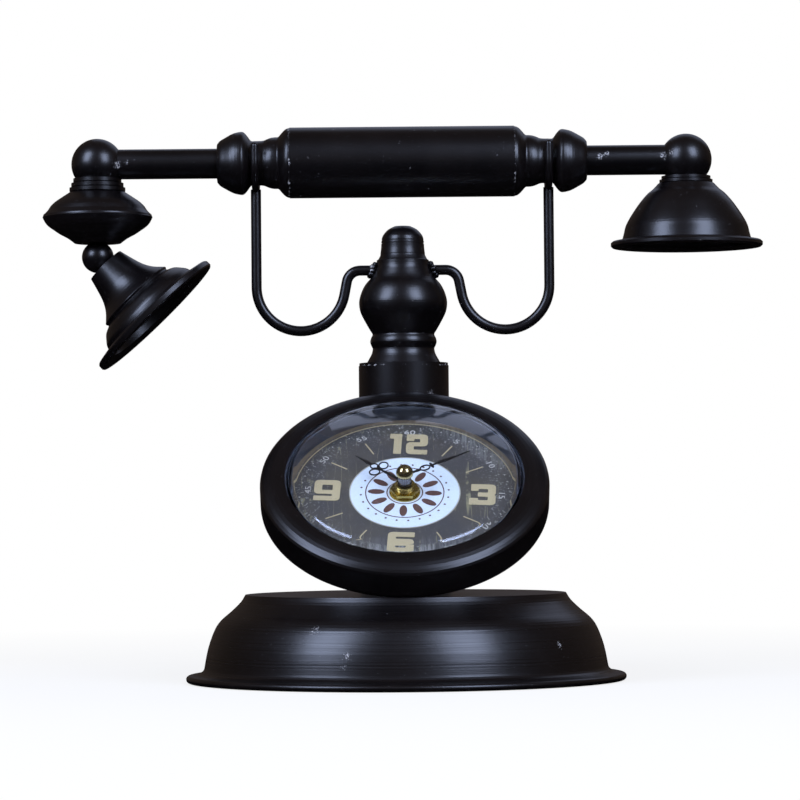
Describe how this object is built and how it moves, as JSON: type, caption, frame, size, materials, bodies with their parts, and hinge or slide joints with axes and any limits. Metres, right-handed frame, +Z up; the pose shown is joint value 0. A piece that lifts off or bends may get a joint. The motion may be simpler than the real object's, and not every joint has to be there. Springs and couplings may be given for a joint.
{
  "type": "telephone shaped desk clock",
  "caption": "Black enamelled metal desk clock in the form of an antique telephone: spun base, tilted domed clock, turned post, wire cradle and a handset with bell and horn.",
  "frame": {"origin": "centre of the bounding box on the surface that the base rim stands on", "axes": "+X along the handset towards the earpiece bell, -Y out of the dial side, +Z up"},
  "size_m": [0.3172, 0.1872, 0.2414],
  "materials": {
    "satin_black": "satin enamel",
    "zinc_steel": "zinc plated",
    "brass": "polished",
    "lens": "clear",
    "grey_ring": "gloss",
    "dial_print": "printed, satin",
    "cream_print": "printed",
    "white_print": "printed",
    "movement_plastic": "moulded",
    "gear_nylon": "moulded",
    "hand_black": "matt black",
    "magnet": "sintered",
    "copper_coil": "enamelled wire",
    "circuit": "solder mask",
    "battery_can": "printed sleeve"
  },
  "bodies": {
    "root": {"base_shell": "satin_black", "base_washer": "zinc_steel", "base_nut": "zinc_steel", "post_tie_rod": "zinc_steel", "post_tube": "satin_black", "post_cap": "satin_black", "post_spindle": "satin_black", "post_finial": "satin_black", "cradle_rod_left": "satin_black", "cradle_rod_right": "satin_black", "yoke_left": "satin_black", "yoke_right": "satin_black", "case_shell": "satin_black", "weld_beads": "satin_black", "back_cover": "satin_black", "cover_screws": "satin_black", "lens": "lens", "dial_ring": "grey_ring", "dial_plate": "dial_print", "dial_numerals": "cream_print", "centre_disc": "white_print", "movement_housing": "movement_plastic", "movement_cover": "movement_plastic", "train_plate": "brass", "centre_bush": "brass", "dial_washer": "brass", "dial_nut": "brass", "stator_coil": "copper_coil", "circuit_contacts": "circuit"},
    "handset": {"handle_tube": "satin_black", "handle_end_left": "satin_black", "handle_end_right": "satin_black", "arm_tube_left": "satin_black", "arm_tube_right": "satin_black", "handset_tie_rod": "zinc_steel", "elbow_left": "satin_black", "elbow_right": "satin_black", "collar_left": "satin_black", "collar_right": "satin_black", "saucer_upper": "satin_black", "saucer_lower": "satin_black", "saucer_stud": "zinc_steel", "mouthpiece_ball": "satin_black", "mouthpiece_horn": "satin_black", "earpiece_bell": "satin_black", "earpiece_stud": "zinc_steel"},
    "hour_work": {"hour_wheel": "gear_nylon", "hour_hand": "hand_black"},
    "minute_work": {"minute_arbor": "zinc_steel", "minute_hand": "hand_black", "hand_collars": "zinc_steel", "cap_nut": "brass"},
    "change_work": {"change_wheel": "gear_nylon", "setting_knob": "movement_plastic"},
    "centre_train": {"centre_wheel": "brass"},
    "third_train": {"third_wheel": "gear_nylon"},
    "second_train": {"second_wheel": "gear_nylon"},
    "idler_train": {"idler_wheel": "gear_nylon"},
    "rotor_train": {"rotor": "magnet"},
    "battery": {"battery": "battery_can"}
  },
  "joints": [
    {"name": "handset_lift", "type": "slide", "parent": "root", "child": "handset", "axis": [0, 0, 1], "range_m": [0, 0.08]},
    {"name": "minute_hand_turn", "type": "hinge", "parent": "root", "child": "minute_work", "pos_m": [0, -0.03049, 0.08736], "axis": [0, -0.6361, 0.7716], "continuous": true},
    {"name": "hour_hand_turn", "type": "hinge", "parent": "root", "child": "hour_work", "pos_m": [0, -0.03049, 0.08736], "axis": [0, -0.6361, 0.7716], "continuous": true},
    {"name": "change_wheel_turn", "type": "hinge", "parent": "root", "child": "change_work", "pos_m": [0.0075, -0.03049, 0.08736], "axis": [0, -0.6361, 0.7716], "continuous": true},
    {"name": "rotor_turn", "type": "hinge", "parent": "root", "child": "rotor_train", "pos_m": [0.0038, -0.04081, 0.07885], "axis": [0, -0.6361, 0.7716], "continuous": true},
    {"name": "idler_turn", "type": "hinge", "parent": "root", "child": "idler_train", "pos_m": [0.0038, -0.03557, 0.08318], "axis": [0, -0.6361, 0.7716], "continuous": true},
    {"name": "second_turn", "type": "hinge", "parent": "root", "child": "second_train", "pos_m": [0, -0.03049, 0.08736], "axis": [0, -0.6361, 0.7716], "continuous": true},
    {"name": "third_turn", "type": "hinge", "parent": "root", "child": "third_train", "pos_m": [-0.00677, -0.03239, 0.0858], "axis": [0, -0.6361, 0.7716], "continuous": true},
    {"name": "centre_turn", "type": "hinge", "parent": "root", "child": "centre_train", "pos_m": [0, -0.03049, 0.08736], "axis": [0, -0.6361, 0.7716], "continuous": true},
    {"name": "battery_pull", "type": "slide", "parent": "root", "child": "battery", "axis": [0, 0.6361, -0.7716], "range_m": [0, 0.018]}
  ],
  "couplings": [
    {"joint": "hour_hand_turn", "follows": "minute_hand_turn", "ratio": 0.083333},
    {"joint": "change_wheel_turn", "follows": "minute_hand_turn", "ratio": -0.33333},
    {"joint": "idler_turn", "follows": "rotor_turn", "ratio": -0.13333},
    {"joint": "second_turn", "follows": "rotor_turn", "ratio": 0.033333},
    {"joint": "third_turn", "follows": "rotor_turn", "ratio": -0.0044444},
    {"joint": "centre_turn", "follows": "rotor_turn", "ratio": 0.00055556}
  ]
}
